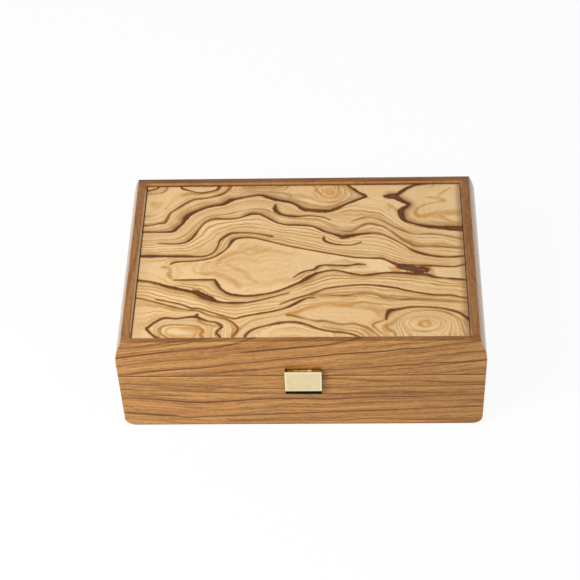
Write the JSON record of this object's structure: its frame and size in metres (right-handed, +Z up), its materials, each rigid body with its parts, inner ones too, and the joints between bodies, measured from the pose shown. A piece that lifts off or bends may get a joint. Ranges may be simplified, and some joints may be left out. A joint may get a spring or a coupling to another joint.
{
  "type": "chess piece box",
  "caption": "Hinged wooden box for chess pieces with lined compartments, a raised rim round a figured veneer panel and a brass flap clasp.",
  "frame": {"origin": "centre of the flat underside", "axes": "+X to the right, +Y from the clasp to the hinges at the back, +Z up"},
  "size_m": [0.24, 0.1558, 0.084],
  "materials": {
    "case_wood": "satin varnished walnut-coloured wood with straight grain",
    "panel_board": "plain board",
    "figured_veneer": "satin pale veneer with dark wavy figure",
    "felt": "short felt",
    "hinge_brass": "satin",
    "screw_brass": "satin",
    "clasp_brass": "pale satin brass",
    "keeper_black": "black, semi-matt",
    "magnet_steel": "plated"
  },
  "bodies": {
    "base": {"base_front": "case_wood", "base_back": "case_wood", "base_left": "case_wood", "base_right": "case_wood", "base_bottom": "panel_board", "divider": "case_wood", "tray_lining_left": "felt", "tray_lining_right": "felt", "clasp_keeper": "keeper_black", "keeper_magnet": "magnet_steel", "keeper_pins": "screw_brass", "hinge_left_base_leaf": "hinge_brass", "hinge_right_base_leaf": "hinge_brass", "hinge_left_pin": "hinge_brass", "hinge_right_pin": "hinge_brass", "hinge_base_screws": "screw_brass"},
    "lid": {"lid_front": "case_wood", "lid_back": "case_wood", "lid_left": "case_wood", "lid_right": "case_wood", "lid_panel": "panel_board", "lid_veneer": "figured_veneer", "lid_lining": "felt", "hinge_left_lid_leaf": "hinge_brass", "hinge_right_lid_leaf": "hinge_brass", "hinge_lid_screws": "screw_brass", "clasp_bracket": "clasp_brass", "clasp_bracket_screws": "screw_brass"},
    "clasp": {"clasp_flap": "clasp_brass", "clasp_pin": "clasp_brass"}
  },
  "joints": [
    {"name": "lid_hinge", "type": "hinge", "parent": "base", "child": "lid", "pos_m": [0, 0.0736, 0.0502], "axis": [-1, 0, 0], "range_deg": [0, 100]},
    {"name": "clasp_hinge", "type": "hinge", "parent": "lid", "child": "clasp", "pos_m": [0.0013, -0.0776, 0.05775], "axis": [-1, 0, 0], "range_deg": [0, 90]}
  ]
}
